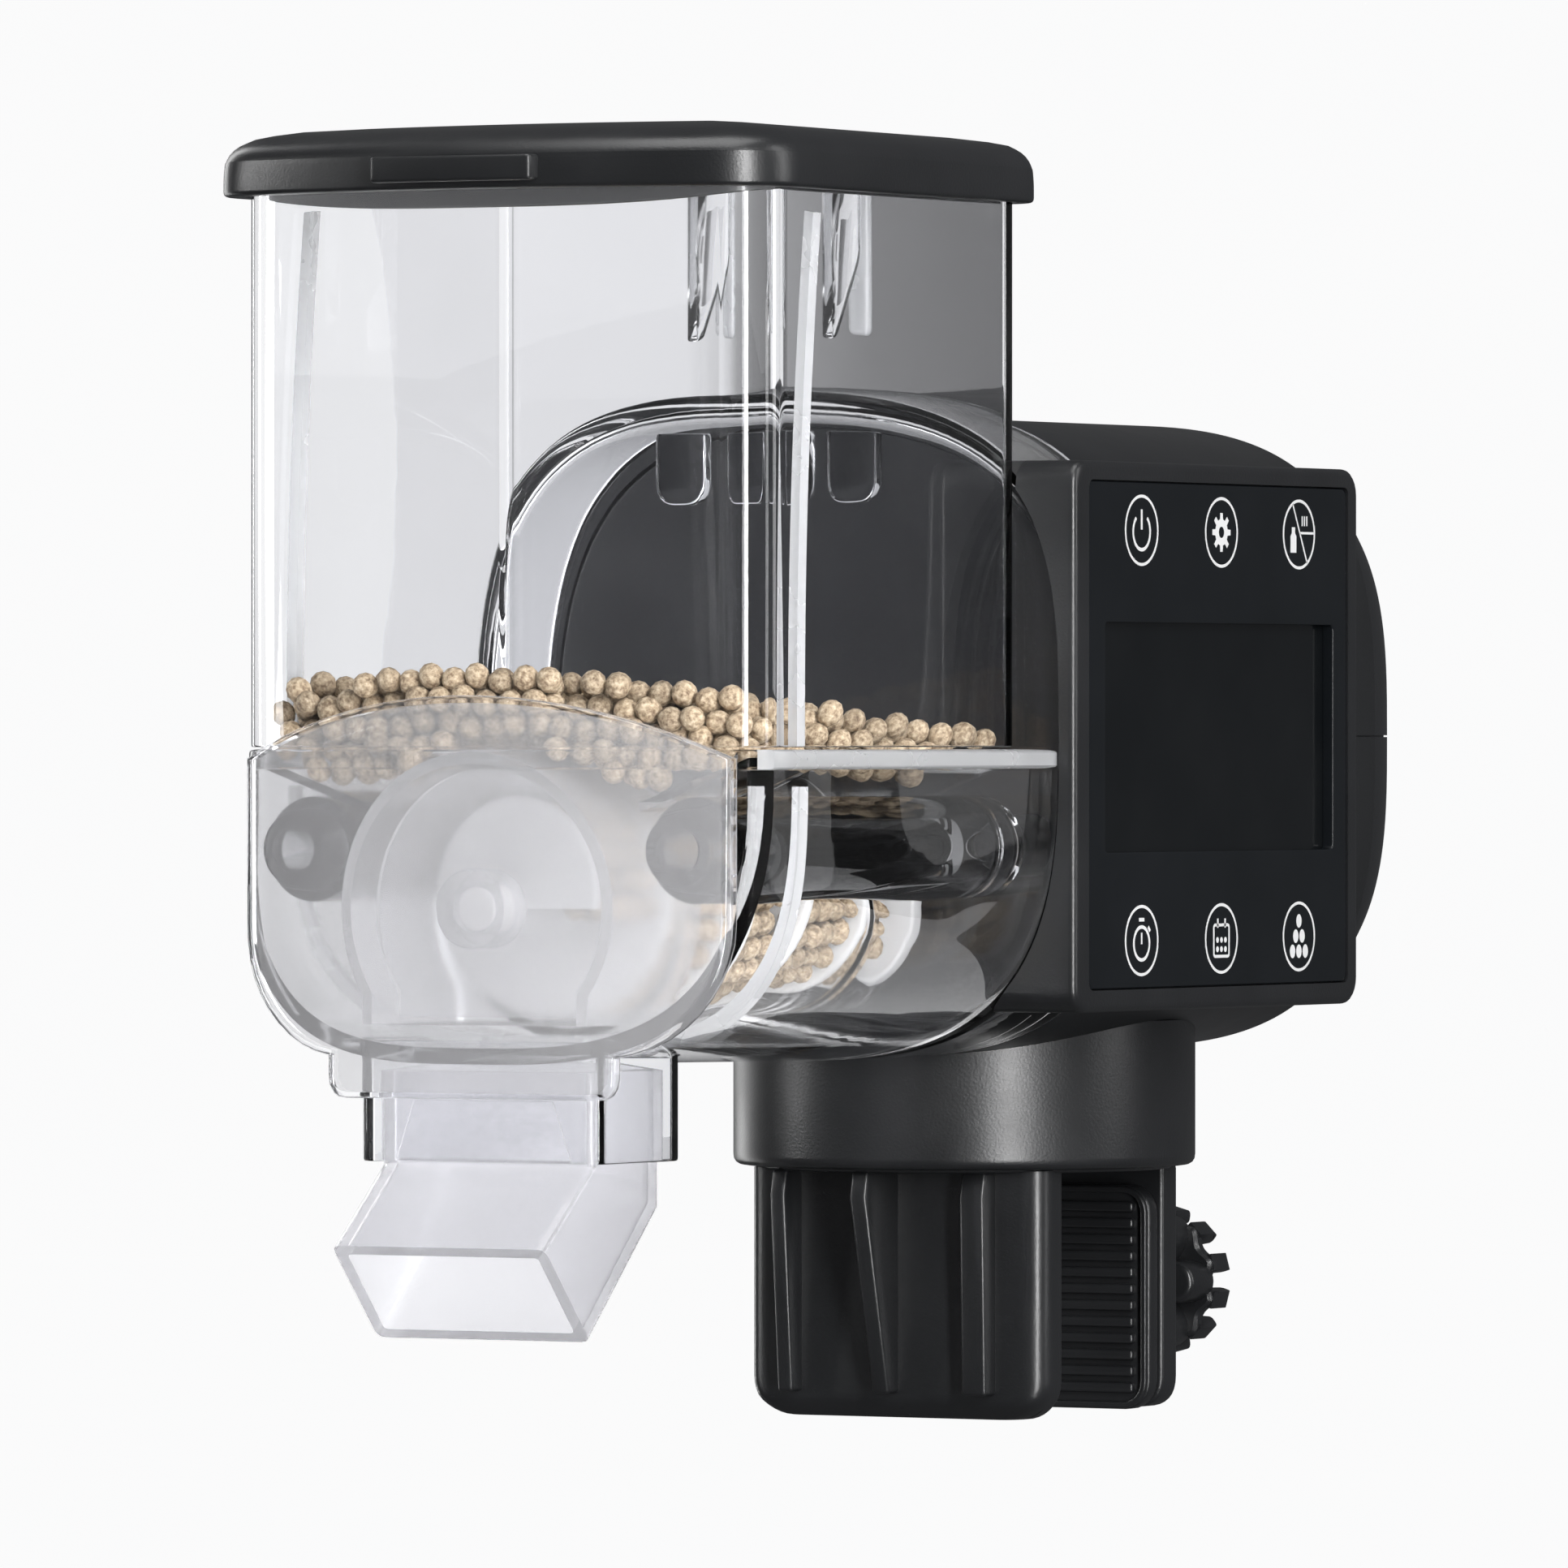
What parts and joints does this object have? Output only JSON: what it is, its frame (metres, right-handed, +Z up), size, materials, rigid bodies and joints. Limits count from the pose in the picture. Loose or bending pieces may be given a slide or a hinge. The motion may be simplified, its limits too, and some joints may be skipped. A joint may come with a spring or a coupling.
{
  "type": "automatic fish feeder",
  "caption": "Aquarium feeder: clear hopper with an auger and frosted drop chute on a dark drive unit with a touch panel, swivelling on a tank-rim screw clamp.",
  "frame": {"origin": "on the swivel axis, at the flat face of the clamp that rests on the tank rim", "axes": "+Z up along the swivel axis, -Y towards the outlet over the tank, +X towards the control panel"},
  "size_m": [0.1, 0.2091, 0.1802],
  "materials": {
    "clear_plastic": "clear polished",
    "frosted_plastic": "frosted translucent",
    "white_plastic": "moulded",
    "dark_plastic": "fine texture",
    "panel_black": "polished, printed marks",
    "screen_dark": "polished",
    "grip_rubber": "moulded",
    "steel": "plain",
    "motor_can": "plain",
    "brass": "turned",
    "gear_nylon": "moulded",
    "circuit_board": "lacquered",
    "pellets": "dry, rough"
  },
  "bodies": {
    "clamp": {"clamp_bracket": "dark_plastic", "jaw_grip_pad": "grip_rubber", "nut_insert": "brass", "swivel_retainer": "steel", "swivel_screw": "steel"},
    "plate": {"pressure_plate": "dark_plastic"},
    "screw": {"clamp_screw": "dark_plastic", "clamp_knob": "dark_plastic"},
    "drive_unit": {"casing_upper": "dark_plastic", "casing_lower": "dark_plastic", "swivel_collar": "dark_plastic", "casing_front_plate": "dark_plastic", "shaft_seal": "grip_rubber", "drive_motor": "motor_can", "motor_bracket": "dark_plastic", "motor_clip": "gear_nylon", "shaft_bush": "brass", "panel_bezel": "dark_plastic", "touch_panel": "panel_black", "display_module": "screen_dark", "control_board": "circuit_board", "power_socket": "steel", "casing_screw_1": "steel", "casing_screw_2": "steel", "casing_screw_3": "steel", "casing_screw_4": "steel"},
    "drive": {"drive_gear": "gear_nylon", "drive_shaft": "steel"},
    "pinion": {"motor_pinion": "brass"},
    "hopper": {"hopper_bin": "clear_plastic", "auger_housing": "clear_plastic", "outlet_sleeve": "clear_plastic", "feed_trough": "clear_plastic", "guide_tube_left": "clear_plastic", "guide_tube_right": "clear_plastic", "food_pellets": "pellets"},
    "lid": {"lid": "dark_plastic"},
    "auger": {"auger_screw": "white_plastic"},
    "cover": {"front_cover": "frosted_plastic"},
    "chute": {"outlet_chute": "frosted_plastic"}
  },
  "joints": [
    {"name": "swivel", "type": "hinge", "parent": "clamp", "child": "drive_unit", "pos_m": [0, 0, 0], "axis": [0, 0, 1], "range_deg": [-180, 180]},
    {"name": "plate_travel", "type": "slide", "parent": "clamp", "child": "plate", "axis": [0, -1, 0], "range_m": [0, 0.024]},
    {"name": "knob_turn", "type": "hinge", "parent": "plate", "child": "screw", "pos_m": [0, 0.0555, -0.018], "axis": [0, -1, 0], "range_deg": [0, 2880]},
    {"name": "hopper_release", "type": "slide", "parent": "drive_unit", "child": "hopper", "axis": [0, -1, 0], "range_m": [0, 0.04]},
    {"name": "lid_lift", "type": "slide", "parent": "hopper", "child": "lid", "axis": [0, 0, 1], "range_m": [0, 0.05]},
    {"name": "cover_pull", "type": "slide", "parent": "hopper", "child": "cover", "axis": [0, -1, 0], "range_m": [0, 0.072]},
    {"name": "chute_pull", "type": "slide", "parent": "hopper", "child": "chute", "axis": [0, 0, -1], "range_m": [0, 0.02]},
    {"name": "auger_spin", "type": "hinge", "parent": "hopper", "child": "auger", "pos_m": [0, -0.09, 0.0385], "axis": [0, -1, 0], "continuous": true},
    {"name": "drive_spin", "type": "hinge", "parent": "drive_unit", "child": "drive", "pos_m": [0, -0.0285, 0.0385], "axis": [0, -1, 0], "continuous": true},
    {"name": "pinion_spin", "type": "hinge", "parent": "drive_unit", "child": "pinion", "pos_m": [0, -0.0285, 0.0578], "axis": [0, -1, 0], "continuous": true}
  ],
  "couplings": [
    {"joint": "knob_turn", "follows": "plate_travel", "rad_per_m": 2094.4},
    {"joint": "drive_spin", "follows": "auger_spin", "ratio": 1},
    {"joint": "pinion_spin", "follows": "auger_spin", "ratio": -3}
  ]
}
